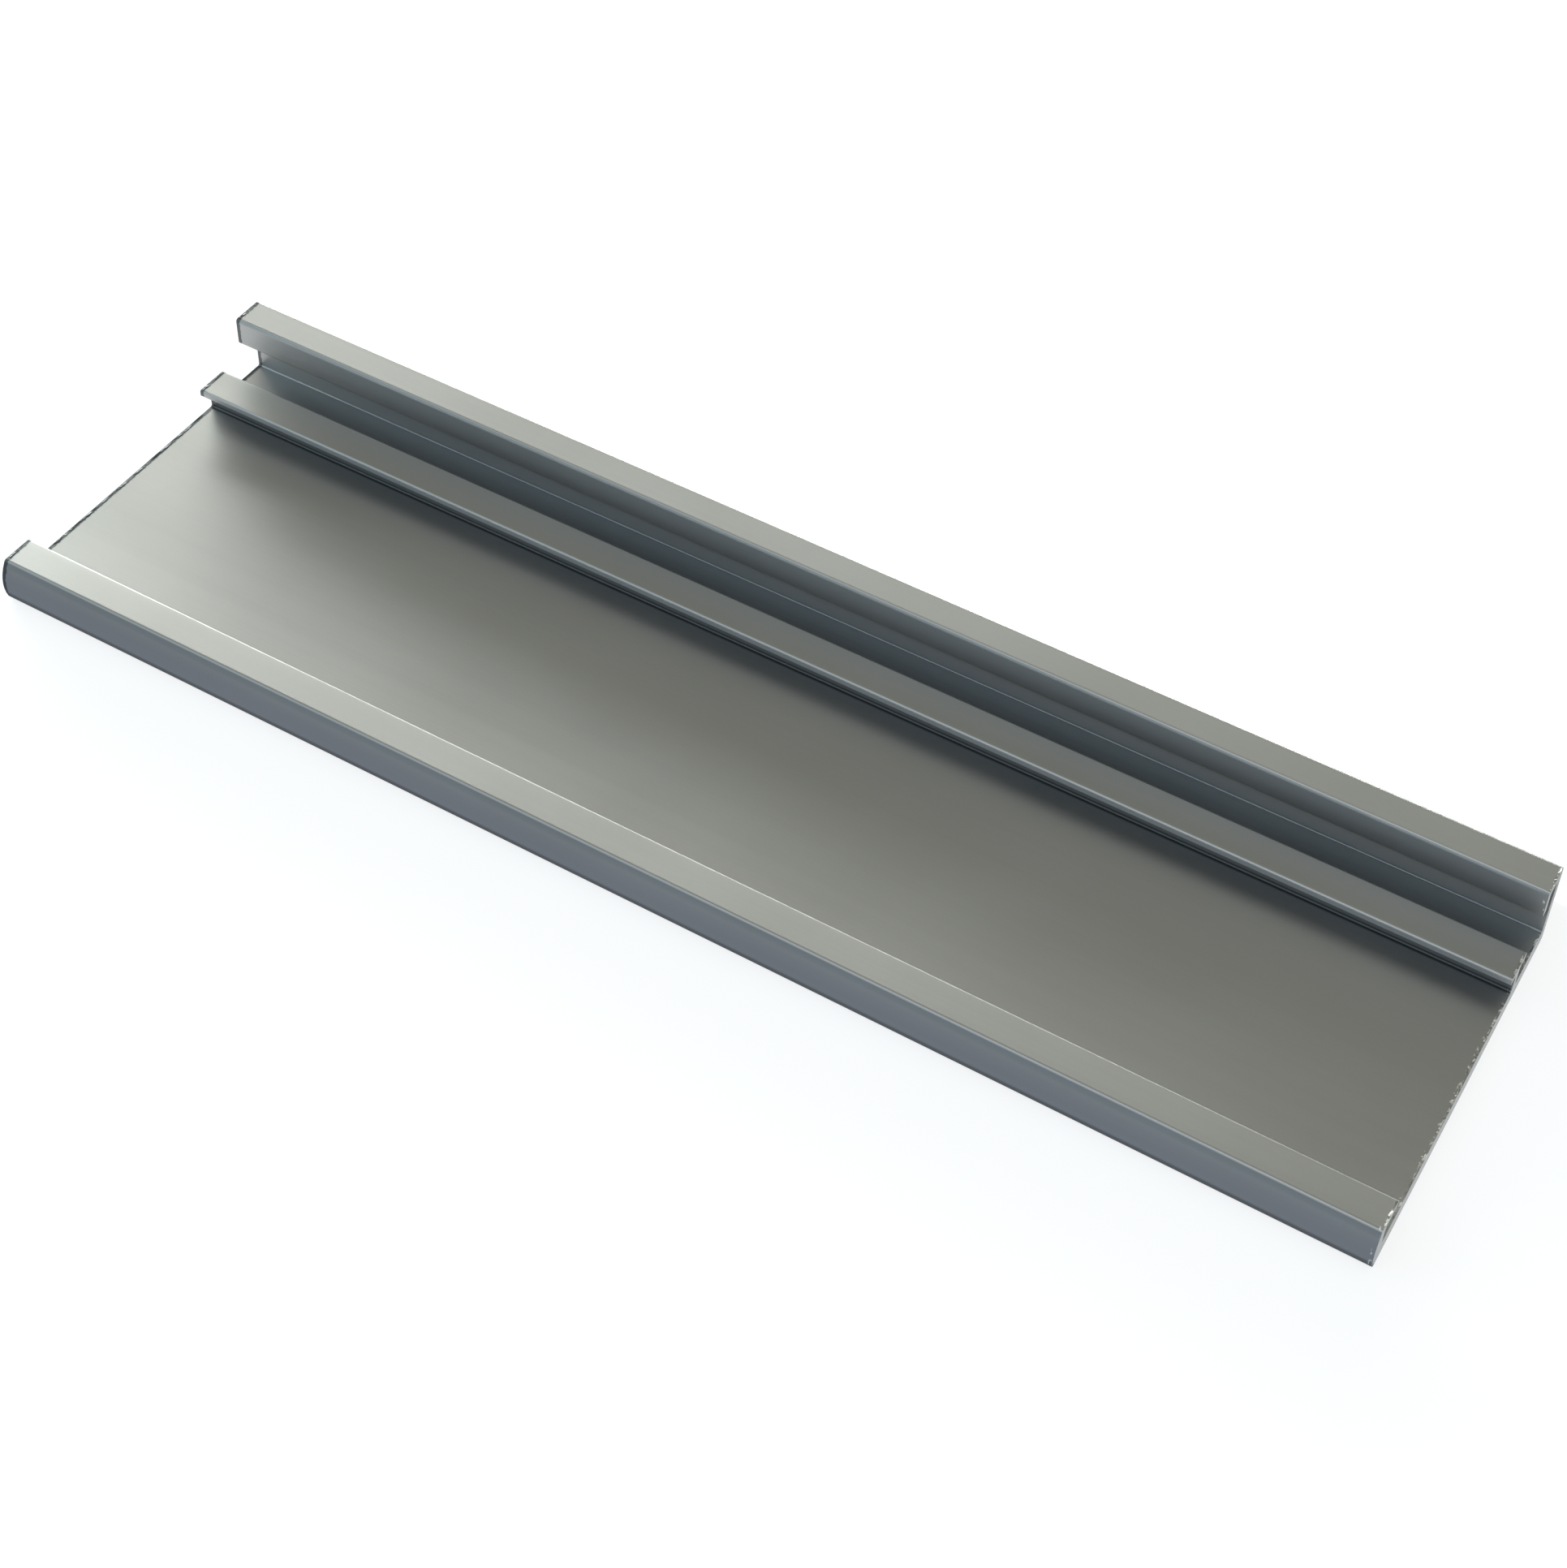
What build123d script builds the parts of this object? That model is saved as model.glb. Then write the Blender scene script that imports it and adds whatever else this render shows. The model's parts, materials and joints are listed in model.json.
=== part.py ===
"""Aluminium extrusion profile, a cut length lying on its flat back.

One solid. X runs along the length, Y from the rounded lip to the tall hook, Z up.
The origin is under the middle of the piece, on the floor. All sizes are in millimetres.
"""
import os

from build123d import *

# Piece of stock
length = 300.0
left_end_chamfer = 0.15
right_cut_lean_angle = 3.0

# Plate
plate_thickness = 4.3

# Rounded lip along the front
lip_height = 10.35
lip_top_width = 7.35
lip_flange_thickness = 1.6
lip_wall_thickness = 1.9
lip_bulge = 1.9
lip_bulge_height = 4.7
lip_bottom_radius = 2.0

# Ledge, a flange centred on a rib that stands on the plate
ledge_front = 62.4
ledge_width = 7.95
ledge_height = 10.65
ledge_thickness = 1.5
rib_thickness = 2.0

# Hook along the back
hook_front = 76.45
hook_width = 7.95
hook_height = 20.6
hook_face_height = 6.55
hook_flange_thickness = 2.0
hook_leg_thickness = 1.9
back_wall_thickness = 2.4

# Roundings
lip_edge_radius = 0.8
hook_edge_radius = 0.8
edge_radius = 0.5
ledge_lower_radius = 0.2
flange_corner_radius = 0.8
plate_corner_radius = 0.4

# Levels and places that follow from the sizes above
back = hook_front + hook_width
middle = (back - lip_bulge) / 2
ledge_back = ledge_front + ledge_width
hook_bottom = hook_height - hook_face_height
lip_underside = lip_height - lip_flange_thickness
ledge_underside = ledge_height - ledge_thickness
hook_underside = hook_height - hook_flange_thickness
rib_front = ledge_front + (ledge_width - rib_thickness) / 2
rib_back = rib_front + rib_thickness
wall_front = back - back_wall_thickness
leg_back = hook_front + hook_leg_thickness

# Outer face of the lip, one shallow arc from the top edge to the bottom rounding
bulge_drop = lip_height - lip_bulge_height
face_radius = (lip_bulge**2 + bulge_drop**2) / (2 * lip_bulge)
face_centre = (face_radius - lip_bulge, lip_bulge_height)
foot_reach = face_radius - lip_bottom_radius
foot_drop = lip_bulge_height - lip_bottom_radius
foot_centre = (face_centre[0] - (foot_reach**2 - foot_drop**2) ** 0.5, lip_bottom_radius)
foot_scale = face_radius / foot_reach
foot_start = (
    face_centre[0] + (foot_centre[0] - face_centre[0]) * foot_scale,
    face_centre[1] + (foot_centre[1] - face_centre[1]) * foot_scale,
)
foot_end = (foot_centre[0], 0.0)

# Section, seen from the right-hand end, as (across, up) corners
outer_corners = [
    (lip_top_width, lip_height),
    (lip_top_width, lip_underside),
    (ledge_front, ledge_height),
    (ledge_back, ledge_height),
    (hook_front, hook_bottom),
    (leg_back, hook_bottom),
    (back, 0.0),
]
hook_top_corners = [
    (hook_front, hook_height),
    (back, hook_height),
]
lip_top_corner = [
    (0.0, lip_height),
]
ledge_lower_corners = [
    (ledge_front, ledge_underside),
    (ledge_back, ledge_underside),
]
flange_corners = [
    (lip_wall_thickness, lip_underside),
    (rib_front, ledge_underside),
    (rib_back, ledge_underside),
    (wall_front, hook_underside),
    (leg_back, hook_underside),
]
plate_corners = [
    (lip_wall_thickness, plate_thickness),
    (rib_front, plate_thickness),
    (rib_back, plate_thickness),
    (wall_front, plate_thickness),
]
path = [
    (0.0, lip_height),
    (lip_top_width, lip_height),
    (lip_top_width, lip_underside),
    (lip_wall_thickness, lip_underside),
    (lip_wall_thickness, plate_thickness),
    (rib_front, plate_thickness),
    (rib_front, ledge_underside),
    (ledge_front, ledge_underside),
    (ledge_front, ledge_height),
    (ledge_back, ledge_height),
    (ledge_back, ledge_underside),
    (rib_back, ledge_underside),
    (rib_back, plate_thickness),
    (wall_front, plate_thickness),
    (wall_front, hook_underside),
    (leg_back, hook_underside),
    (leg_back, hook_bottom),
    (hook_front, hook_bottom),
    (hook_front, hook_height),
    (back, hook_height),
    (back, 0.0),
    foot_end,
]


def vertices_at(vertices, corners):
    """Pick the section's vertices that lie at the given corners."""
    picked = []
    for corner in corners:
        at = Vector(corner[0], corner[1])
        picked.append(min(vertices, key=lambda vertex: (Vector(*tuple(vertex)) - at).length))
    return picked


with BuildSketch() as section:
    with BuildLine():
        Polyline(*path)
        RadiusArc(foot_end, foot_start, lip_bottom_radius)
        RadiusArc(foot_start, (0.0, lip_height), face_radius)
    make_face()
    fillet(vertices_at(section.vertices(), plate_corners), plate_corner_radius)
    fillet(vertices_at(section.vertices(), flange_corners), flange_corner_radius)
    fillet(vertices_at(section.vertices(), outer_corners), edge_radius)
    fillet(vertices_at(section.vertices(), ledge_lower_corners), ledge_lower_radius)
    fillet(vertices_at(section.vertices(), hook_top_corners), hook_edge_radius)
    fillet(vertices_at(section.vertices(), lip_top_corner), lip_edge_radius)

profile_face = Plane.YZ * Location((-middle, 0.0)) * section.sketch
profile = extrude(profile_face, amount=length / 2, both=True)

# Saw cuts: the left end is square and deburred, the right end is raw and leans in towards the top
right_cut = Plane((length / 2, 0.0, 0.0), z_dir=Plane.YZ.z_dir.rotate(Axis.Y, -right_cut_lean_angle))
profile = split(profile, bisect_by=right_cut, keep=Keep.BOTTOM)
left_end = profile.faces().sort_by(Axis.X)[0]
profile = chamfer(left_end.edges(), left_end_chamfer)

os.makedirs("parts", exist_ok=True)
export_step(profile, "parts/extrusion_profile.step")
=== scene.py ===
"""Looks of a sawn length of anodised aluminium extrusion, lying on its flat back.

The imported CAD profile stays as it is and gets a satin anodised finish. The ragged burr that the
saw left along the cut edges is added as fine relief. All lengths are in metres.
"""

import json
import logging
import math
from dataclasses import dataclass, field
from enum import Enum

import bpy
from mathutils import Matrix, Vector

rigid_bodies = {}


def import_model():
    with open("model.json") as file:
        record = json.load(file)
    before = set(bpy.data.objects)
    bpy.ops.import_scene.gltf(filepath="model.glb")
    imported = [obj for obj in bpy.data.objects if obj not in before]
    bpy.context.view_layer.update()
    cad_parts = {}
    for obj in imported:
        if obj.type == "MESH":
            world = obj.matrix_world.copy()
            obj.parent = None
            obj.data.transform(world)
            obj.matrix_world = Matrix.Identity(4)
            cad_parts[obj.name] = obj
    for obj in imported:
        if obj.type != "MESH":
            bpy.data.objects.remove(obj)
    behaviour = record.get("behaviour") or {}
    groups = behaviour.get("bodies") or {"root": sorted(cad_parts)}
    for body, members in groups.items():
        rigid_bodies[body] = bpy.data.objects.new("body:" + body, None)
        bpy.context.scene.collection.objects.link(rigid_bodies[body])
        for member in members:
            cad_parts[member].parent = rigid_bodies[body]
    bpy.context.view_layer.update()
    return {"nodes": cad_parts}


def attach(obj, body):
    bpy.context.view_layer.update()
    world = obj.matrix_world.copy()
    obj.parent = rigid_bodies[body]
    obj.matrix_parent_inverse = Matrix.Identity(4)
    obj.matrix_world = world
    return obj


for leftover in list(bpy.data.objects):
    bpy.data.objects.remove(leftover, do_unlink=True)
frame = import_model()

LOG = logging.getLogger("extrusion_profile")
BODY = "root"
NODE = "extrusion_profile"
HALF_LENGTH = 0.15
RIGHT_LEAN = math.tan(math.radians(3.0))

Range = tuple[float, float]
Colour = tuple[float, float, float]
Place = tuple[float, float, float]
Socket = bpy.types.NodeSocket


class Cut(Enum):
    """The two sawn ends of the piece, as the sign of X that they face."""

    LEFT = -1
    RIGHT = 1


@dataclass(frozen=True)
class Pattern:
    """A noise pattern, by its waves in a metre along X, Y and Z, its octaves and its turn."""

    per_metre: Place
    detail: float
    turn: Place = (0.0, 0.0, 0.0)


class Graph:
    """A small helper that adds and links shader nodes in one material or world."""

    def __init__(self, tree: bpy.types.NodeTree) -> None:
        """Start from an empty node tree.

        Args:
            tree: The node tree to fill.
        """
        self.tree = tree
        tree.nodes.clear()

    def add(self, kind: str, **settings: object) -> bpy.types.Node:
        """Add a node.

        Args:
            kind: Blender's name of the node type.
            **settings: Properties to set on the node.

        Returns:
            The new node.
        """
        node = self.tree.nodes.new(kind)
        for name, value in settings.items():
            setattr(node, name, value)
        return node

    def link(self, source: Socket, target: Socket) -> None:
        """Join an output socket to an input socket."""
        self.tree.links.new(source, target)

    def feed(self, target: Socket, value: Socket | float) -> None:
        """Link a socket, or set a plain number, on an input socket.

        Args:
            target: The input socket.
            value: The socket or the number.
        """
        if isinstance(value, bpy.types.NodeSocket):
            self.link(value, target)
        else:
            target.default_value = value

    def math(self, operation: str, first: Socket | float, second: Socket | float = 0.0) -> Socket:
        """Add a Math node.

        Args:
            operation: The node's operation.
            first: First operand.
            second: Second operand.

        Returns:
            The result.
        """
        node = self.add("ShaderNodeMath", operation=operation)
        self.feed(node.inputs[0], first)
        self.feed(node.inputs[1], second)
        return node.outputs[0]

    def plus(self, first: Socket | float, second: Socket | float) -> Socket:
        """Add two values."""
        return self.math("ADD", first, second)

    def minus(self, first: Socket | float, second: Socket | float) -> Socket:
        """Subtract the second value from the first."""
        return self.math("SUBTRACT", first, second)

    def times(self, first: Socket | float, second: Socket | float) -> Socket:
        """Multiply two values."""
        return self.math("MULTIPLY", first, second)

    def below(self, value: Socket, limit: Socket | float) -> Socket:
        """Give one where the value is less than the limit."""
        return self.math("LESS_THAN", value, limit)

    def above(self, value: Socket, limit: Socket | float) -> Socket:
        """Give one where the value is more than the limit."""
        return self.math("GREATER_THAN", value, limit)

    def step(self, value: Socket, span: Range, start: float = 0.0, end: float = 1.0) -> Socket:
        """Map a value smoothly from a span to another range.

        Args:
            value: The value to map.
            span: Where the step starts and ends.
            start: Result at the low end.
            end: Result at the high end.

        Returns:
            The mapped value.
        """
        node = self.add("ShaderNodeMapRange", interpolation_type="SMOOTHSTEP")
        self.link(value, node.inputs["Value"])
        node.inputs["From Min"].default_value, node.inputs["From Max"].default_value = span
        node.inputs["To Min"].default_value = start
        node.inputs["To Max"].default_value = end
        return node.outputs["Result"]

    def noise(self, vector: Socket, pattern: Pattern) -> Socket:
        """Add a noise pattern.

        Args:
            vector: The coordinates that the pattern follows.
            pattern: The pattern's waves, octaves and turn.

        Returns:
            The pattern, round one half.
        """
        mapping = self.add("ShaderNodeMapping")
        self.link(vector, mapping.inputs["Vector"])
        mapping.inputs["Rotation"].default_value = pattern.turn
        mapping.inputs["Scale"].default_value = pattern.per_metre
        noise = self.add("ShaderNodeTexNoise")
        self.link(mapping.outputs["Vector"], noise.inputs["Vector"])
        noise.inputs["Scale"].default_value = 1.0
        noise.inputs["Detail"].default_value = pattern.detail
        return noise.outputs["Fac"]

    def swing(self, pattern: Socket, amount: float) -> Socket:
        """Centre a pattern on zero and scale it to the given amount."""
        return self.times(self.minus(pattern, 0.5), amount)

    def parts(self, vector: Socket) -> bpy.types.NodeOutputs:
        """Split a vector into its X, Y and Z parts.

        Args:
            vector: The vector to split.

        Returns:
            The three parts, by name or in order.
        """
        node = self.add("ShaderNodeSeparateXYZ")
        self.link(vector, node.inputs[0])
        return node.outputs

    def tint(self, colour: Colour, tone: Socket) -> Socket:
        """Scale a colour by a tone.

        Args:
            colour: The colour.
            tone: What it is multiplied by.

        Returns:
            The scaled colour.
        """
        node = self.add("ShaderNodeVectorMath", operation="SCALE")
        node.inputs[0].default_value = colour
        self.link(tone, node.inputs["Scale"])
        return node.outputs[0]

    def blend(self, factor: Socket, first: Socket | Colour, second: Socket | Colour) -> Socket:
        """Mix two colours.

        Args:
            factor: Share of the second colour.
            first: First colour.
            second: Second colour.

        Returns:
            The mixed colour.
        """
        node = self.add("ShaderNodeMix", data_type="RGBA")
        self.link(factor, node.inputs["Factor"])
        for name, value in (("A", first), ("B", second)):
            target = next(s for s in node.inputs if s.name == name and s.type == "RGBA")
            if isinstance(value, tuple):
                target.default_value = (*value, 1.0)
            else:
                self.link(value, target)
        return next(s for s in node.outputs if s.type == "RGBA")


def new_material(name: str) -> tuple[bpy.types.Material, Graph]:
    """Start a node material.

    Args:
        name: The material's name.

    Returns:
        The material and its empty graph.
    """
    material = bpy.data.materials.new(name)
    material.use_nodes = True
    return material, Graph(material.node_tree)


def metal_shader(graph: Graph) -> bpy.types.Node:
    """Add a metal shader and link it to the material's surface.

    Args:
        graph: The material's nodes.

    Returns:
        The shader node.
    """
    out = graph.add("ShaderNodeOutputMaterial")
    shader = graph.add("ShaderNodeBsdfPrincipled")
    shader.inputs["Metallic"].default_value = 1.0
    graph.link(shader.outputs["BSDF"], out.inputs["Surface"])
    return shader


def bump_node(graph: Graph, height: Socket, strength: float, distance: float) -> bpy.types.Node:
    """Add a bump.

    Args:
        graph: The material's nodes.
        height: The height pattern.
        strength: Share of the bump that shows.
        distance: Height of a full step of the pattern.

    Returns:
        The bump node.
    """
    bump = graph.add("ShaderNodeBump")
    bump.inputs["Strength"].default_value = strength
    bump.inputs["Distance"].default_value = distance
    graph.link(height, bump.inputs["Height"])
    return bump


@dataclass(frozen=True)
class Surface:
    """What the finish reads at a point of the metal.

    The place and its parts across and up, the normal and its parts to the back and up, and the
    distances from the two cuts, all in the object's own axes.
    """

    place: Socket
    across: Socket
    level: Socket
    normal: Socket
    backward: Socket
    upward: Socket
    from_left: Socket
    from_right: Socket


@dataclass(frozen=True)
class LeaningFlats:
    """Flats that are a little out of level: the drooping lip and hook and the dished plate."""

    hook_top: float = 0.0206
    lip_top: float = 0.01035
    lip_back: float = -0.0335
    plate_top: float = 0.0043
    far_slack: float = 0.0003
    near_slack: float = 0.0001
    hook_droop: float = math.tan(math.radians(2.6))
    lip_droop: float = math.tan(math.radians(2.8))
    lip_edge_droop: float = math.tan(math.radians(4.2))
    lip_edge: Range = (-0.0356, -0.0341)
    plate_dish: float = math.tan(math.radians(1.3))
    dish_range: Range = (-0.0285, -0.012)

    def reached(self, graph: Graph, level: Socket, flat: float) -> Socket:
        """Give one from the level of a flat upwards."""
        return graph.step(level, (flat - self.far_slack, flat - self.near_slack))

    def normal(self, graph: Graph, at: Surface) -> Socket:
        """Lean the normals of the flats.

        Args:
            graph: The material's nodes.
            at: What the finish reads.

        Returns:
            The leaning normal in world axes.
        """
        hook = self.reached(graph, at.level, self.hook_top)
        lip = self.reached(graph, at.level, self.lip_top)
        lip = graph.times(lip, graph.below(at.across, self.lip_back))
        over_plate = (self.plate_top + self.near_slack, self.plate_top + self.far_slack)
        plate = graph.step(at.level, over_plate, 1.0, 0.0)
        plate = graph.times(plate, self.reached(graph, at.level, self.plate_top))
        dish = graph.times(plate, graph.step(at.across, self.dish_range, self.plate_dish, 0.0))
        droop = graph.step(at.across, self.lip_edge, self.lip_droop, self.lip_edge_droop)
        back = graph.plus(graph.times(lip, droop), dish)
        lean = graph.add("ShaderNodeCombineXYZ")
        graph.link(graph.minus(back, graph.times(hook, self.hook_droop)), lean.inputs["Y"])
        total = graph.add("ShaderNodeVectorMath", operation="ADD")
        graph.link(at.normal, total.inputs[0])
        graph.link(lean.outputs[0], total.inputs[1])
        unit = graph.add("ShaderNodeVectorMath", operation="NORMALIZE")
        graph.link(total.outputs[0], unit.inputs[0])
        turn = graph.add("ShaderNodeVectorTransform", vector_type="NORMAL")
        turn.convert_from, turn.convert_to = "OBJECT", "WORLD"
        graph.link(unit.outputs[0], turn.inputs[0])
        return turn.outputs[0]


@dataclass(frozen=True)
class EdgeWearAndPaintedLight:
    """Rounded upper edges: the low ones lighter, partly real abrasion and partly painted highlight, and
    the hook's darker with painted shade.
    """

    # Tints of the low rounded edges, partly real abrasion and partly painted highlight: this one where
    # they face the back, the next where they face the front.
    colour: Colour = (0.56, 0.53, 0.50)
    front_highlight_colour: Colour = (0.57, 0.50, 0.42)
    # Painted shade on the hook's rounded edges, damping their highlight.
    dull_colour: Colour = (0.27, 0.26, 0.215)
    share: float = 0.5
    hook_edge_shade_share: float = 0.8
    bend: Range = (0.17, 0.28)
    over_plate: Range = (0.006, 0.008)
    over_ledge: Range = (0.012, 0.014)
    turn_back: Range = (-0.15, 0.15)
    polish: float = 0.13
    soft_back: Range = (0.06, 0.2)
    soft_up: Range = (0.3, 0.6)
    softness: float = 0.18

    def mask(self, graph: Graph, at: Surface) -> Socket:
        """Find the rounded upper long edges, whose normals lie between the axes.

        Args:
            graph: The material's nodes.
            at: What the finish reads.

        Returns:
            One in the middle of a rounding and zero on the flats and in the low inner corners.
        """
        size = graph.add("ShaderNodeVectorMath", operation="ABSOLUTE")
        graph.link(at.normal, size.inputs[0])
        sides = graph.parts(size.outputs[0])
        most = graph.math("MAXIMUM", sides["Y"], sides["Z"])
        most = graph.math("MAXIMUM", most, sides["X"])
        edge = graph.step(graph.minus(1.0, most), self.bend)
        return graph.times(edge, graph.step(at.level, self.over_plate))

    def tinted(self, graph: Graph, at: Surface, edge: Socket, colour: Socket) -> Socket:
        """Lighten the low rounded edges, partly real abrasion and partly painted highlight tinted by the
        way they face, and paint shade on the hook's edges.

        Args:
            graph: The material's nodes.
            at: What the finish reads.
            edge: The mask of the edges.
            colour: The metal's colour.

        Returns:
            The colour with its lightened and shaded edges.
        """
        high = graph.step(at.level, self.over_ledge)
        # Painted highlight, partly real abrasion: the low edges are lightened, tinted by whether they
        # face the front or the back.
        worn_and_lit = graph.times(edge, graph.minus(self.share, graph.times(high, self.share)))
        backward = graph.step(at.backward, self.turn_back)
        colour = graph.blend(worn_and_lit, colour, graph.blend(backward, self.front_highlight_colour, self.colour))
        # Painted shade on the hook's rounded edges.
        dull = graph.times(graph.times(edge, high), self.hook_edge_shade_share)
        return graph.blend(dull, colour, self.dull_colour)

    def smoothed(self, graph: Graph, at: Surface, edge: Socket, rough: Socket) -> Socket:
        """Polish the low edges that face the front and dull those that face the back.

        Args:
            graph: The material's nodes.
            at: What the finish reads.
            edge: The mask of the edges.
            rough: The metal's roughness.

        Returns:
            The roughness with its worn edges.
        """
        low = graph.step(at.level, self.over_ledge, 1.0, 0.0)
        polish = graph.times(graph.step(at.backward, self.turn_back, self.polish, 0.0), low)
        rough = graph.minus(rough, graph.times(edge, polish))
        soft = graph.times(graph.step(at.backward, self.soft_back), low)
        soft = graph.times(soft, graph.step(at.level, self.over_plate, 0.0, self.softness))
        soft = graph.times(soft, graph.step(at.upward, self.soft_up))
        return graph.plus(rough, soft)


@dataclass(frozen=True)
class PaintedShadeAndSpecks:
    """Painted shade at the rib, inside the hook and along the lip, and a few specks of dirt."""

    # Painted shade in the corner at the rib's foot and on the rib's face under the ledge.
    foot_across: float = 0.0241
    foot_level: float = 0.0043
    foot_reach: Range = (0.0004, 0.001)
    foot_tone: float = 0.3
    rib_face: Range = (0.0238, 0.0246)
    rib_top: float = 0.0093
    rib_shade: float = 0.45
    # Painted shade inside the hook.
    cavity: Range = (0.0368, 0.0411)
    cavity_top: float = 0.0189
    cavity_level: Range = (0.0075, 0.0105)
    cavity_shade: float = 0.45
    lip_front: float = -0.037
    lip_limit: float = 0.01045
    lip_level: Range = (0.0085, 0.0092)
    # Painted shade in two bands beside the highlight of the lip's outer top edge, standing in for dark
    # reflections.
    under_line: tuple[Range, Range] = ((0.4, 0.55), (0.74, 0.82))
    under_shade: float = 0.3
    over_line: tuple[Range, Range] = ((0.9, 0.95), (0.985, 0.999))
    over_shade: float = 0.2
    # Painted shade low on the lip's outer face, standing in for the dark floor that it reflects.
    bottom_shade_level: Range = (0.0022, 0.0035)
    bottom_shade_strength: float = 0.55
    specks_per_metre: float = 70.0
    speck_draw: Range = (0.55, 1.0)
    speck_reach: float = 0.03
    speck_shade: float = 0.3

    def rib(self, graph: Graph, at: Surface) -> Socket:
        """Paint shade on the rib's front face under the ledge and in the corner at its foot.

        Args:
            graph: The material's nodes.
            at: What the finish reads.

        Returns:
            One on unshaded metal and less on the rib and in the corner.
        """
        side = graph.minus(at.across, self.foot_across)
        rise = graph.minus(at.level, self.foot_level)
        reach = graph.plus(graph.times(side, side), graph.times(rise, rise))
        foot = graph.step(graph.math("SQRT", reach), self.foot_reach, self.foot_tone, 1.0)
        face = graph.above(at.across, self.rib_face[0])
        face = graph.times(face, graph.below(at.across, self.rib_face[1]))
        face = graph.times(face, graph.below(at.level, self.rib_top))
        return graph.math("MINIMUM", foot, graph.minus(1.0, graph.times(face, self.rib_shade)))

    def hook(self, graph: Graph, at: Surface) -> Socket:
        """Paint shade inside the hook, most in its upper part.

        Args:
            graph: The material's nodes.
            at: What the finish reads.

        Returns:
            One on unshaded metal and less inside the hook.
        """
        behind = graph.above(at.across, self.cavity[0])
        before = graph.below(at.across, self.cavity[1])
        under = graph.below(at.level, self.cavity_top)
        inside = graph.times(graph.times(behind, before), under)
        deep = graph.step(at.level, self.cavity_level, 0.0, self.cavity_shade)
        return graph.minus(1.0, graph.times(inside, deep))

    def lip(self, graph: Graph, at: Surface) -> Socket:
        """Paint shade in two bands beside the edge highlight on the lip's outer top edge, and low on the
        lip's outer face.

        Args:
            graph: The material's nodes.
            at: What the finish reads.

        Returns:
            One on unshaded metal and less beside the edge highlight and low on the outer face.
        """
        rise, fall = self.under_line
        under = graph.step(at.upward, fall, self.under_shade, 0.0)
        under = graph.times(graph.step(at.upward, rise), under)
        rise, fall = self.over_line
        over = graph.step(at.upward, fall, self.over_shade, 0.0)
        over = graph.times(graph.step(at.upward, rise), over)
        edge = graph.times(graph.plus(under, over), graph.step(at.level, self.lip_level))
        edge = graph.times(edge, graph.below(at.level, self.lip_limit))
        # Painted shade low on the lip's outer face.
        bottom_shade = graph.step(at.level, self.bottom_shade_level, self.bottom_shade_strength, 0.0)
        front = graph.below(at.across, self.lip_front)
        return graph.minus(1.0, graph.times(graph.plus(edge, bottom_shade), front))

    def specks(self, graph: Graph, at: Surface) -> Socket:
        """Darken a few small specks of dirt.

        Args:
            graph: The material's nodes.
            at: What the finish reads.

        Returns:
            One on clean metal and less on a speck.
        """
        cells = graph.add("ShaderNodeTexVoronoi")
        graph.link(at.place, cells.inputs["Vector"])
        cells.inputs["Scale"].default_value = self.specks_per_metre
        draw = graph.parts(cells.outputs["Color"])["X"]
        reach = graph.step(draw, self.speck_draw, 0.0, self.speck_reach)
        inside = graph.below(cells.outputs["Distance"], reach)
        return graph.minus(1.0, graph.times(inside, self.speck_shade))

    def darkened(self, graph: Graph, at: Surface, tone: Socket) -> Socket:
        """Darken a tone with painted shade at the rib, inside the hook and along the lip, and with
        specks of dirt.

        Args:
            graph: The material's nodes.
            at: What the finish reads.
            tone: The tone without shade or specks.

        Returns:
            The tone with its painted shade and specks.
        """
        for place in (self.specks, self.rib, self.hook, self.lip):
            tone = graph.times(tone, place(graph, at))
        return tone


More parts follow.
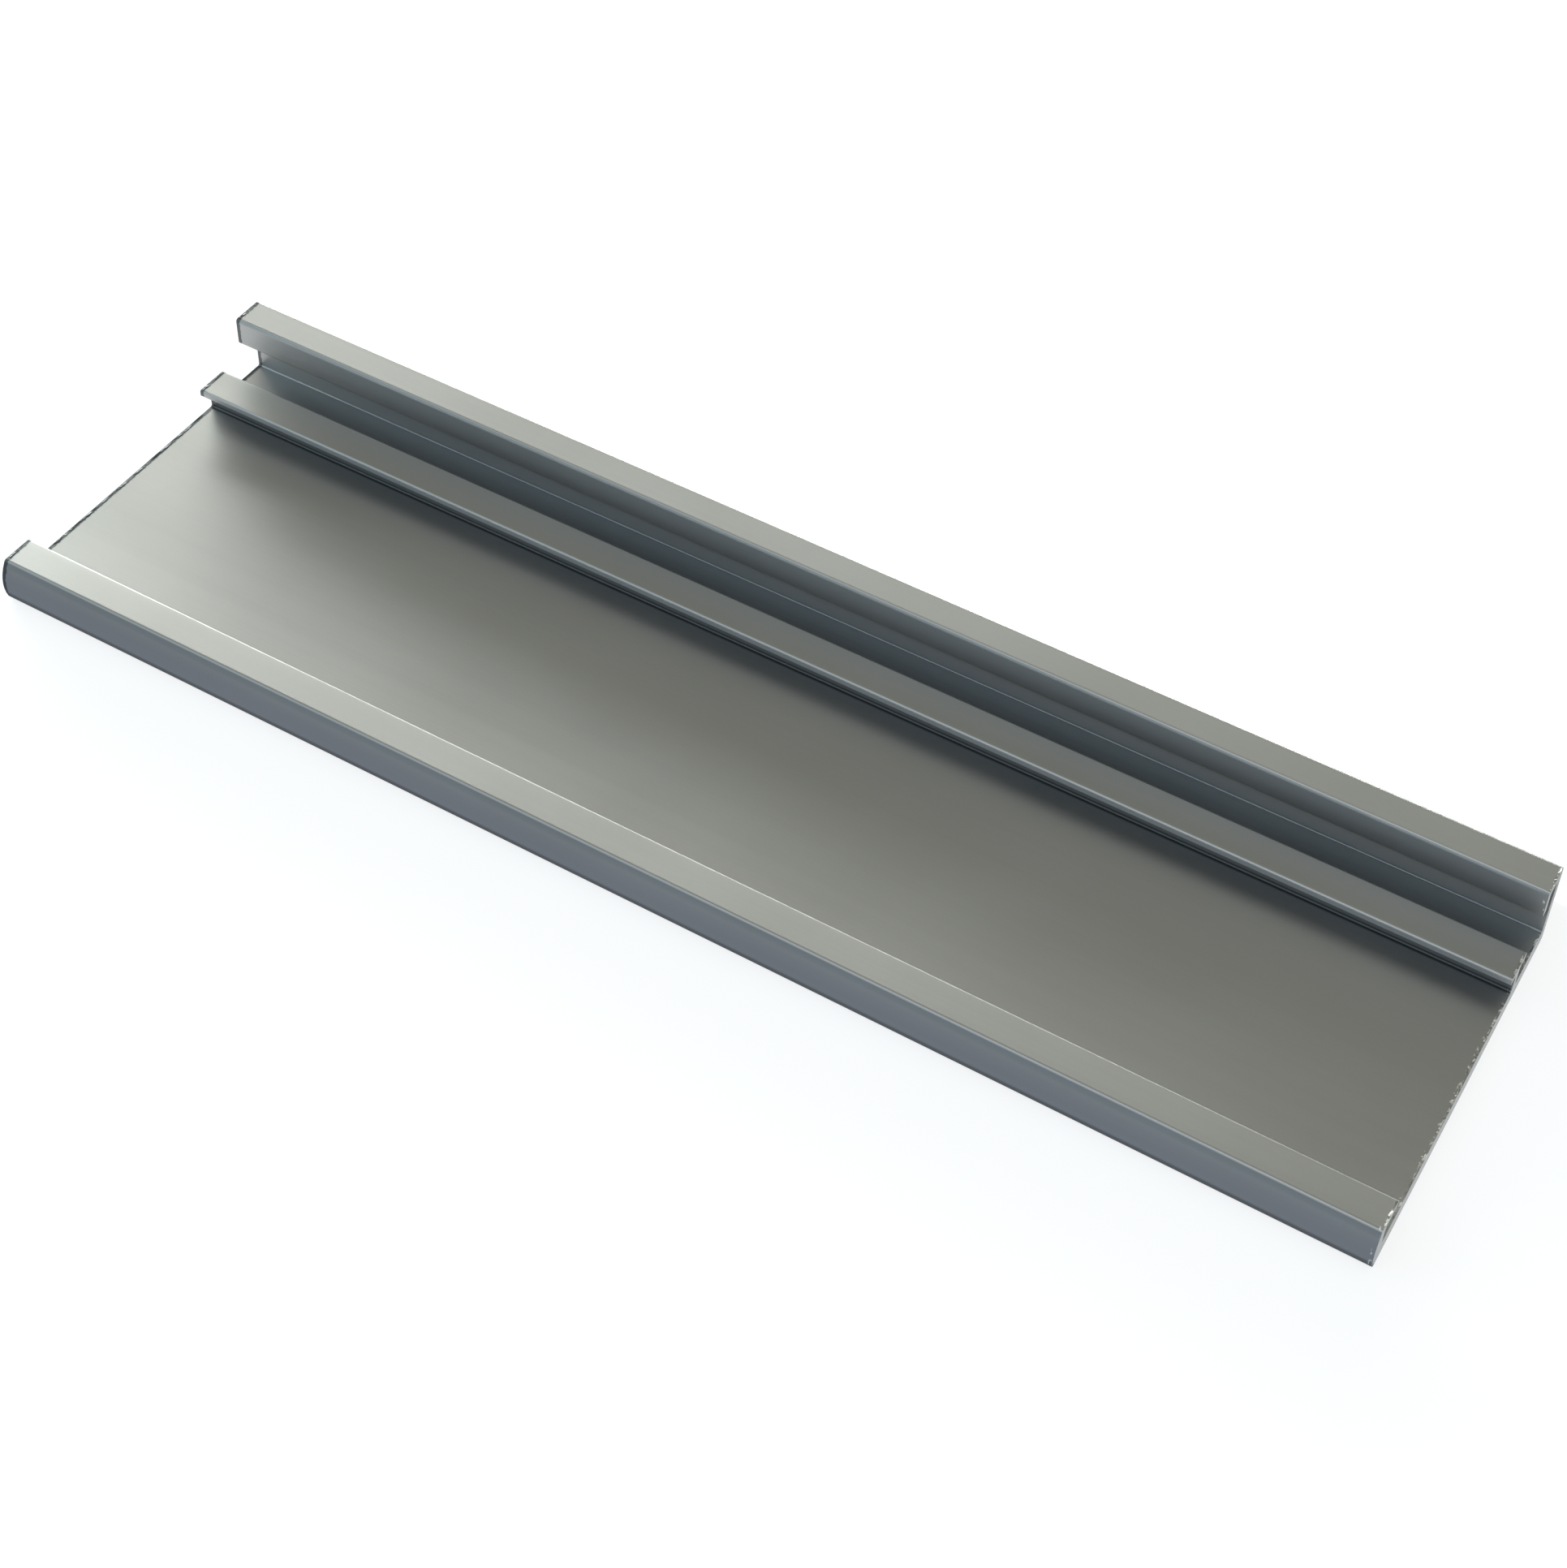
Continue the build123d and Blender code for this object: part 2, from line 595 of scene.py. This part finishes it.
@dataclass(frozen=True)
class SawMarks:
    """The sawn ends: raw metal at both cuts, a dark band along the left cut and bright flecks at the
    right.
    """

    raw_colour: Colour = (0.46, 0.47, 0.47)
    raw_reach: Range = (0.00004, 0.0003)
    raw_ragged: float = 0.0002
    raw_tone: float = 0.9
    raw_swing: float = 0.7
    # A dark band along the left cut.
    left_band_colour: Colour = (0.075, 0.085, 0.095)
    left_band_ragged: float = 0.0007
    left_band_inner: Range = (0.0009, 0.00115)
    left_band_outer: Range = (0.0001, 0.00025)
    left_band_share: float = 0.85
    fleck_colour: Colour = (0.92, 0.92, 0.90)
    chips: Pattern = Pattern((950.0, 700.0, 700.0), 1.0)
    patches: Pattern = Pattern((20.0, 70.0, 70.0), 1.0)
    patch_swing: float = 0.45
    fleck_cut: Range = (0.62, 0.68)
    fleck_inner: Range = (0.0006, 0.0009)
    fleck_outer: Range = (0.00005, 0.0002)

    def raw(self, graph: Graph, at: Surface, ragged: Socket) -> Socket:
        """Mark the raw metal of the two cuts.

        Args:
            graph: The material's nodes.
            at: What the finish reads.
            ragged: Noise that breaks up the border.

        Returns:
            One on the cuts and zero elsewhere.
        """
        inset = graph.math("MINIMUM", at.from_left, at.from_right)
        torn = graph.plus(inset, graph.swing(ragged, self.raw_ragged))
        return graph.step(torn, self.raw_reach, 1.0, 0.0)

    def left_dark_band(self, graph: Graph, at: Surface, ragged: Socket) -> Socket:
        """Mark a dark band along the left-hand cut.

        Args:
            graph: The material's nodes.
            at: What the finish reads.
            ragged: Noise that breaks up the border.

        Returns:
            How much of the dark band shows, and zero elsewhere.
        """
        torn = graph.plus(at.from_left, graph.swing(ragged, self.left_band_ragged))
        inner = graph.step(torn, self.left_band_inner, 1.0, 0.0)
        outer = graph.step(at.from_left, self.left_band_outer)
        return graph.times(graph.times(inner, outer), self.left_band_share)

    def flecks(self, graph: Graph, at: Surface) -> Socket:
        """Mark the bright flecks of torn metal along the right-hand cut.

        Args:
            graph: The material's nodes.
            at: What the finish reads.

        Returns:
            One on a fleck and zero elsewhere.
        """
        chips = graph.noise(at.place, self.chips)
        patches = graph.swing(graph.noise(at.place, self.patches), self.patch_swing)
        bright = graph.step(graph.plus(chips, patches), self.fleck_cut)
        inner = graph.step(at.from_right, self.fleck_inner, 1.0, 0.0)
        outer = graph.step(at.from_right, self.fleck_outer)
        return graph.times(bright, graph.times(inner, outer))


@dataclass(frozen=True)
class SatinAnodised:
    """Satin anodised aluminium with faint die lines along the length and sawn, unfinished ends."""

    name: str = "satin_anodised"
    colour: Colour = (0.421, 0.421, 0.416)
    roughness: float = 0.44
    half_length: float = HALF_LENGTH
    right_lean: float = RIGHT_LEAN
    streaks: Pattern = Pattern((2.5, 420.0, 420.0), 3.0)
    lines: Pattern = Pattern((7.0, 3200.0, 3200.0), 2.0)
    grain: Pattern = Pattern((5200.0, 5200.0, 5200.0), 1.0)
    clouds: Pattern = Pattern((26.0, 38.0, 38.0), 3.0)
    ragged: Pattern = Pattern((900.0, 1500.0, 900.0), 3.0)
    saw: Pattern = Pattern((60.0, 90.0, 3600.0), 2.0, (math.radians(24.0), 0.0, 0.0))
    streak_tone: float = 0.07
    cloud_tone: float = 0.10
    line_tone: float = 0.05
    grain_roughness: float = 0.08
    cloud_roughness: float = 0.06
    streak_roughness: float = 0.05
    line_height: float = 0.7
    grain_height: float = 0.3
    saw_height: float = 3.0
    bump_strength: float = 0.2
    bump_distance: float = 0.00001
    flats: LeaningFlats = LeaningFlats()
    edge_wear_and_light: EdgeWearAndPaintedLight = EdgeWearAndPaintedLight()
    shade_and_specks: PaintedShadeAndSpecks = PaintedShadeAndSpecks()
    marks: SawMarks = SawMarks()

    def surface(self, graph: Graph) -> Surface:
        """Read the place and the normal in the object's own axes.

        Args:
            graph: The material's nodes.

        Returns:
            What the finish reads at a point.
        """
        coords = graph.add("ShaderNodeTexCoord")
        place, normal = coords.outputs["Object"], coords.outputs["Normal"]
        along, across, level = graph.parts(place)
        facing = graph.parts(normal)
        from_right = graph.minus(self.half_length, along)
        return Surface(
            place=place,
            across=across,
            level=level,
            normal=normal,
            backward=facing["Y"],
            upward=facing["Z"],
            from_left=graph.plus(along, self.half_length),
            from_right=graph.minus(from_right, graph.times(level, self.right_lean)),
        )

    def material(self) -> bpy.types.Material:
        """Build the material.

        Returns:
            A node material that reads Object coordinates.
        """
        material, graph = new_material(self.name)
        shader = metal_shader(graph)
        at = self.surface(graph)
        streaks = graph.noise(at.place, self.streaks)
        lines = graph.noise(at.place, self.lines)
        grain = graph.noise(at.place, self.grain)
        clouds = graph.noise(at.place, self.clouds)
        ragged = graph.noise(at.place, self.ragged)
        saw = graph.noise(at.place, self.saw)
        edge = self.edge_wear_and_light.mask(graph, at)
        sawn = self.marks.raw(graph, at, ragged)

        tone = graph.plus(graph.swing(streaks, self.streak_tone), graph.swing(clouds, self.cloud_tone))
        tone = graph.plus(graph.plus(tone, graph.swing(lines, self.line_tone)), 1.0)
        # Painted shade at the rib, inside the hook and along the lip, and specks of dirt.
        colour = graph.tint(self.colour, self.shade_and_specks.darkened(graph, at, tone))
        # Painted highlight, partly real abrasion, on the low rounded edges, and painted shade on the
        # hook's edges.
        colour = self.edge_wear_and_light.tinted(graph, at, edge, colour)
        raw_tone = graph.plus(graph.swing(saw, self.marks.raw_swing), self.marks.raw_tone)
        colour = graph.blend(sawn, colour, graph.tint(self.marks.raw_colour, raw_tone))
        # A dark band along the left cut.
        left_dark_band = self.marks.left_dark_band(graph, at, ragged)
        colour = graph.blend(left_dark_band, colour, self.marks.left_band_colour)
        colour = graph.blend(self.marks.flecks(graph, at), colour, self.marks.fleck_colour)
        graph.link(colour, shader.inputs["Base Color"])

        rough = graph.swing(grain, self.grain_roughness)
        rough = graph.plus(rough, graph.swing(clouds, self.cloud_roughness))
        rough = graph.plus(rough, graph.swing(streaks, self.streak_roughness))
        rough = graph.plus(rough, self.roughness)
        graph.link(self.edge_wear_and_light.smoothed(graph, at, edge, rough), shader.inputs["Roughness"])

        height = graph.plus(graph.times(lines, self.line_height), graph.times(grain, self.grain_height))
        height = graph.plus(height, graph.times(graph.times(saw, sawn), self.saw_height))
        bump = bump_node(graph, height, self.bump_strength, self.bump_distance)
        graph.link(self.flats.normal(graph, at), bump.inputs["Normal"])
        graph.link(bump.outputs["Normal"], shader.inputs["Normal"])
        return material


@dataclass(frozen=True)
class TornMetal:
    """Torn metal of a saw burr, bright in its fresh flakes and darker between them."""

    name: str
    fresh_colour: Colour
    dull_colour: Colour
    fresh_from: float
    fresh_border: float = 0.07
    flakes: Pattern = Pattern((1400.0, 620.0, 1400.0), 2.0)
    grain: Pattern = Pattern((6000.0, 6000.0, 6000.0), 1.0)
    grain_tone: float = 0.3
    roughness: float = 0.38
    roughness_swing: float = 0.2
    bump_strength: float = 0.4
    bump_distance: float = 0.00003

    def material(self) -> bpy.types.Material:
        """Build the material.

        Returns:
            A node material that reads Object coordinates.
        """
        material, graph = new_material(self.name)
        shader = metal_shader(graph)
        place = graph.add("ShaderNodeTexCoord").outputs["Object"]
        flakes = graph.noise(place, self.flakes)
        grain = graph.noise(place, self.grain)
        fresh = graph.step(flakes, (self.fresh_from, self.fresh_from + self.fresh_border))
        tone = graph.plus(graph.swing(grain, self.grain_tone), 1.0)
        dull_colour = graph.tint(self.dull_colour, tone)
        fresh_colour = graph.tint(self.fresh_colour, tone)
        graph.link(graph.blend(fresh, dull_colour, fresh_colour), shader.inputs["Base Color"])
        rough = graph.swing(grain, self.roughness_swing)
        rough = graph.plus(rough, graph.swing(flakes, self.roughness_swing))
        graph.link(graph.plus(rough, self.roughness), shader.inputs["Roughness"])
        bump = bump_node(graph, flakes, self.bump_strength, self.bump_distance)
        graph.link(bump.outputs["Normal"], shader.inputs["Normal"])
        return material


@dataclass(frozen=True)
class PaleFloorFinish:
    """Pale studio floor that reads white to the eye and keeps a soft shadow."""

    name: str = "pale_floor"
    colour: Colour = (0.36, 0.36, 0.36)
    glow: float = 0.76

    def material(self) -> bpy.types.Material:
        """Build the material.

        Returns:
            A diffuse material with a glow that only camera, glossy and transmission rays see.
        """
        material, graph = new_material(self.name)
        out = graph.add("ShaderNodeOutputMaterial")
        diffuse = graph.add("ShaderNodeBsdfDiffuse")
        diffuse.inputs["Color"].default_value = (*self.colour, 1.0)
        path = graph.add("ShaderNodeLightPath")
        seen = graph.math("MAXIMUM", path.outputs["Is Camera Ray"], path.outputs["Is Glossy Ray"])
        seen = graph.math("MAXIMUM", seen, path.outputs["Is Transmission Ray"])
        glow = graph.add("ShaderNodeEmission")
        graph.link(graph.times(seen, self.glow), glow.inputs["Strength"])
        both = graph.add("ShaderNodeAddShader")
        graph.link(diffuse.outputs[0], both.inputs[0])
        graph.link(glow.outputs[0], both.inputs[1])
        graph.link(both.outputs[0], out.inputs["Surface"])
        return material


@dataclass(frozen=True)
class GreyCardFinish:
    """Even grey of a studio card that reflections see."""

    name: str
    colour: Colour

    def material(self) -> bpy.types.Material:
        """Build the material.

        Returns:
            An even emission of the card's grey.
        """
        material, graph = new_material(self.name)
        out = graph.add("ShaderNodeOutputMaterial")
        grey = graph.add("ShaderNodeEmission")
        grey.inputs["Color"].default_value = (*self.colour, 1.0)
        graph.link(grey.outputs[0], out.inputs["Surface"])
        return material


@dataclass
class StudioCard:
    """A grey card that only reflections see, laid on the floor or stood upright."""

    finish: GreyCardFinish
    size: Range
    middle: Place
    upright: bool
    blocks_lamps: bool

    def build(self) -> bpy.types.Object:
        """Place the card.

        Returns:
            The card object.
        """
        turn = (math.radians(90.0), 0.0, 0.0) if self.upright else (0.0, 0.0, 0.0)
        bpy.ops.object.select_all(action="DESELECT")
        bpy.ops.mesh.primitive_plane_add(size=1.0, location=self.middle, rotation=turn)
        card = bpy.context.active_object
        card.name = self.finish.name
        card.scale = (*self.size, 1.0)
        bpy.ops.object.transform_apply(location=True, rotation=True, scale=True)
        card.data.materials.append(self.finish.material())
        card.visible_camera = False
        card.visible_diffuse = False
        card.visible_transmission = False
        card.visible_shadow = self.blocks_lamps
        return card


def studio_cards() -> list[StudioCard]:
    """List the studio's cards.

    Returns:
        The card in front of the lip and the low flag that keeps the window's glare off the back face.
    """
    front_card = StudioCard(
        finish=GreyCardFinish("front_card", (0.345, 0.386, 0.45)),
        size=(1.8, 0.8588),
        middle=(0.0, -0.4706, 0.0004),
        upright=False,
        blocks_lamps=False,
    )
    back_flag = StudioCard(
        finish=GreyCardFinish("back_flag", (0.50, 0.51, 0.50)),
        size=(0.322, 0.0194),
        middle=(-0.005, 0.0535, 0.0098),
        upright=True,
        blocks_lamps=True,
    )
    return [front_card, back_flag]


@dataclass
class PhotoCamera:
    """Camera that stands where the photographer stood."""

    place: Place = (0.17367, -0.31557, 0.39679)
    right: Place = (0.86186, 0.50524, 0.04396)
    up: Place = (-0.40238, 0.62847, 0.66567)
    lens_mm: float = 62.539
    sensor_mm: float = 36.0
    near: float = 0.01
    far: float = 50.0

    def build(self) -> bpy.types.Object:
        """Create the camera and make it the scene's camera.

        Returns:
            The camera object.
        """
        data = bpy.data.cameras.new("photo_camera")
        data.lens = self.lens_mm
        data.sensor_width = self.sensor_mm
        data.clip_start = self.near
        data.clip_end = self.far
        camera = bpy.data.objects.new("photo_camera", data)
        bpy.context.scene.collection.objects.link(camera)
        right = Vector(self.right).normalized()
        back = right.cross(Vector(self.up)).normalized()
        up = back.cross(right)
        turn = Matrix((right, up, back)).transposed().to_4x4()
        camera.matrix_world = Matrix.Translation(self.place) @ turn
        bpy.context.scene.camera = camera
        return camera


@dataclass
class SoftLamp:
    """A rectangular soft light that faces the object."""

    name: str
    place: Place
    size: Range
    radiance: float
    colour: Colour

    def build(self) -> bpy.types.Object:
        """Hang the lamp.

        Returns:
            The light object.
        """
        data = bpy.data.lights.new(self.name, "AREA")
        data.shape = "RECTANGLE"
        data.size, data.size_y = self.size
        data.energy = self.radiance * math.pi * self.size[0] * self.size[1]
        data.color = self.colour
        light = bpy.data.objects.new(self.name, data)
        bpy.context.scene.collection.objects.link(light)
        light.location = self.place
        light.rotation_euler = (-Vector(self.place)).to_track_quat("-Z", "Y").to_euler()
        light.visible_camera = False
        return light


def studio_lamps() -> list[SoftLamp]:
    """List the studio's lamps.

    Returns:
        The long low window behind, the small panel at the left end and the broad panel overhead.
    """
    window = SoftLamp(
        name="window_light",
        place=(-0.947, 1.133, 0.24),
        size=(2.091, 0.503),
        radiance=16.6,
        colour=(0.96, 1.0, 0.95),
    )
    end = SoftLamp(
        name="end_light",
        place=(-0.232, -0.015, 0.052),
        size=(0.101, 0.079),
        radiance=0.7,
        colour=(0.79, 1.0, 1.04),
    )
    top = SoftLamp(
        name="top_light",
        place=(0.082, -0.569, 1.386),
        size=(1.071, 0.35),
        radiance=1.9,
        colour=(1.0, 0.98, 1.08),
    )
    return [window, end, top]


def sine_range(degrees: Range) -> Range:
    """Turn two heights above the horizon, in degrees, into heights on a unit sphere."""
    return math.sin(math.radians(degrees[0])), math.sin(math.radians(degrees[1]))


@dataclass
class Studio:
    """Floor, soft lamps, grey cards and dim room round the object."""

    floor_size: float = 40.0
    front_horizon: Colour = (0.35, 0.39, 0.40)
    back_horizon: Colour = (0.375, 0.41, 0.405)
    front_wall: Colour = (0.62, 0.84, 1.0)
    back_wall: Colour = (0.23, 0.228, 0.182)
    ceiling: Colour = (0.525, 0.53, 0.48)
    wall_degrees: Range = (12.0, 20.0)
    ceiling_degrees: Range = (42.0, 58.0)
    front_to_back: Range = (-0.15, 0.15)
    lamps: list[SoftLamp] = field(default_factory=studio_lamps)
    floor_finish: PaleFloorFinish = field(default_factory=PaleFloorFinish)
    cards: list[StudioCard] = field(default_factory=studio_cards)

    def build_floor(self) -> bpy.types.Object:
        """Lay the floor.

        Returns:
            The floor object.
        """
        bpy.ops.object.select_all(action="DESELECT")
        bpy.ops.mesh.primitive_plane_add(size=self.floor_size)
        floor = bpy.context.active_object
        floor.name = "studio_floor"
        floor.data.materials.append(self.floor_finish.material())
        return floor

    def build_room(self) -> bpy.types.World:
        """Give the room a pale horizon, dimmer walls and a ceiling.

        Returns:
            The world.
        """
        world = bpy.data.worlds.new("room")
        world.use_nodes = True
        graph = Graph(world.node_tree)
        out = graph.add("ShaderNodeOutputWorld")
        back = graph.add("ShaderNodeBackground")
        axes = graph.parts(graph.add("ShaderNodeTexCoord").outputs["Generated"])
        wall = graph.step(axes["Z"], sine_range(self.wall_degrees))
        roof = graph.step(axes["Z"], sine_range(self.ceiling_degrees))
        rear = graph.step(axes["Y"], self.front_to_back)
        upper = graph.blend(roof, graph.blend(rear, self.front_wall, self.back_wall), self.ceiling)
        lower = graph.blend(rear, self.front_horizon, self.back_horizon)
        graph.link(graph.blend(wall, lower, upper), back.inputs["Color"])
        graph.link(back.outputs[0], out.inputs["Surface"])
        bpy.context.scene.world = world
        return world

    def build(self) -> None:
        """Build the floor, the cards, the lamps and the room."""
        self.build_floor()
        for card in self.cards:
            card.build()
        self.build_room()
        for lamp in self.lamps:
            lamp.build()


@dataclass
class Profile:
    """The extruded piece itself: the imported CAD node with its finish."""

    finish: SatinAnodised = field(default_factory=SatinAnodised)

    def dress(self) -> bpy.types.Object:
        """Give the CAD node its finish.

        Returns:
            The CAD node's object.
        """
        node = frame["nodes"][NODE]
        node.data.materials[0] = self.finish.material()
        return node


@dataclass(frozen=True)
class BurrRun:
    """One stretch of burr along a cut edge, from front to back at one level."""

    front: float
    back: float
    level: float


def upper_edges() -> tuple[BurrRun, ...]:
    """List the upper edges of the section that the saw left ragged.

    Returns:
        Runs on the lip, the plate, the ledge, the floor of the back channel and the hook.
    """
    return (
        BurrRun(front=-0.0402, back=-0.0344, level=0.01035),
        BurrRun(front=-0.0336, back=0.0208, level=0.0043),
        BurrRun(front=0.0217, back=0.0286, level=0.01065),
        BurrRun(front=0.0292, back=0.0402, level=0.0043),
        BurrRun(front=0.0361, back=0.0422, level=0.0206),
    )


@dataclass
class SawBurr:
    """Ragged burr that the saw left along the upper edges of one cut."""

    cut: Cut
    finish: TornMetal
    inset: float
    lean: float
    seed: int
    runs: tuple[BurrRun, ...] = field(default_factory=upper_edges)
    half_length: float = HALF_LENGTH
    width: float = 0.00034
    rise: float = 0.00016
    sunk: float = 0.00004
    lump: float = 0.0017
    lump_swing: float = 0.00011
    fewest_lumps: int = 2
    chips: int = 3
    chip_swing: float = 0.00007
    evenness: float = 0.3
    seed_step: int = 10

    def place_at(self, level: float) -> float:
        """Find where along the length the burr sits at a level."""
        return self.cut.value * (self.half_length - self.inset - level * self.lean)

    def split_long_edges(self, bar: bpy.types.Object, cuts: int, longer_than: float) -> None:
        """Subdivide the edges that run from front to back.

        Args:
            bar: The bar to work on, in object mode.
            cuts: Cuts in each edge.
            longer_than: Shortest run from front to back of an edge that is cut.
        """
        bpy.ops.object.mode_set(mode="EDIT")
        bpy.ops.mesh.select_mode(type="EDGE")
        bpy.ops.mesh.select_all(action="DESELECT")
        bpy.ops.object.mode_set(mode="OBJECT")
        points = bar.data.vertices
        for edge in bar.data.edges:
            first, second = (points[index].co for index in edge.vertices)
            edge.select = abs(first.y - second.y) > longer_than
        bpy.ops.object.mode_set(mode="EDIT")
        bpy.ops.mesh.subdivide(number_cuts=cuts)

    def shake(self, offset: float, seed: int) -> None:
        """Move all the points of the bar in edit mode at random.

        Args:
            offset: How far they move at most.
            seed: Seed of the shake.
        """
        bpy.ops.mesh.select_all(action="SELECT")
        bpy.ops.transform.vertex_random(offset=offset, uniform=self.evenness, normal=0.0, seed=seed)

    def build_run(self, run: BurrRun, seed: int) -> bpy.types.Object:
        """Model one stretch of burr, as a bar that is cut up and shaken.

        Args:
            run: The stretch to model.
            seed: Seed of the shake.

        Returns:
            The bar, in place.
        """
        length = run.back - run.front
        centre = (self.place_at(run.level), (run.front + run.back) / 2, run.level - self.sunk)
        bpy.ops.object.select_all(action="DESELECT")
        bpy.ops.mesh.primitive_cube_add(size=1.0, location=centre, scale=(self.width, length, self.rise))
        bar = bpy.context.active_object
        bpy.ops.object.transform_apply(location=True, rotation=True, scale=True)
        self.split_long_edges(bar, max(self.fewest_lumps, round(length / self.lump)), length / 2)
        self.shake(self.lump_swing, seed)
        bpy.ops.object.mode_set(mode="OBJECT")
        self.split_long_edges(bar, self.chips, self.lump / 2)
        self.shake(self.chip_swing, seed + 1)
        bpy.ops.mesh.normals_make_consistent(inside=False)
        bpy.ops.object.mode_set(mode="OBJECT")
        return bar

    def build(self) -> bpy.types.Object:
        """Model the burr on all upper edges of the cut.

        Returns:
            The burr as one object at the origin.
        """
        seeds = range(self.seed, self.seed + self.seed_step * len(self.runs), self.seed_step)
        bars = [self.build_run(run, seed) for run, seed in zip(self.runs, seeds)]
        bpy.ops.object.select_all(action="DESELECT")
        for bar in bars:
            bar.select_set(True)
        bpy.context.view_layer.objects.active = bars[0]
        bpy.ops.object.join()
        burr = bpy.context.active_object
        burr.name = f"saw_burr_{self.cut.name.lower()}"
        burr.data.name = burr.name
        return burr

    def dress(self, burr: bpy.types.Object) -> None:
        """Give the burr its finish and let it ride on the profile.

        Args:
            burr: The burr to dress.
        """
        burr.data.materials.clear()
        burr.data.materials.append(self.finish.material())
        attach(burr, BODY)


def saw_burrs() -> list[SawBurr]:
    """List the burrs of the two cuts.

    Returns:
        The dark burr at the left and the bright torn one at the right.
    """
    # Dark finish of the left cut's burr.
    dark = TornMetal(
        name="dark_burr",
        fresh_colour=(0.20, 0.21, 0.22),
        dull_colour=(0.08, 0.09, 0.10),
        fresh_from=0.56,
    )
    bright = TornMetal(
        name="torn_burr",
        fresh_colour=(0.95, 0.95, 0.93),
        dull_colour=(0.42, 0.43, 0.42),
        fresh_from=0.50,
    )
    return [
        SawBurr(cut=Cut.LEFT, finish=dark, inset=0.0005, lean=0.0, seed=11),
        SawBurr(cut=Cut.RIGHT, finish=bright, inset=0.00022, lean=RIGHT_LEAN, seed=47),
    ]


def main() -> None:
    """Build the classes in order and report each piece."""
    logging.basicConfig(level=logging.INFO)
    scene = bpy.context.scene
    scene.view_settings.view_transform = "Standard"
    PhotoCamera().build()
    Studio().build()
    profile = Profile().dress()
    LOG.info("dressed %s", profile.name)
    for burr in saw_burrs():
        piece = burr.build()
        burr.dress(piece)
        LOG.info("built %s, %d faces", piece.name, len(piece.data.polygons))


if __name__ == "__main__":
    main()
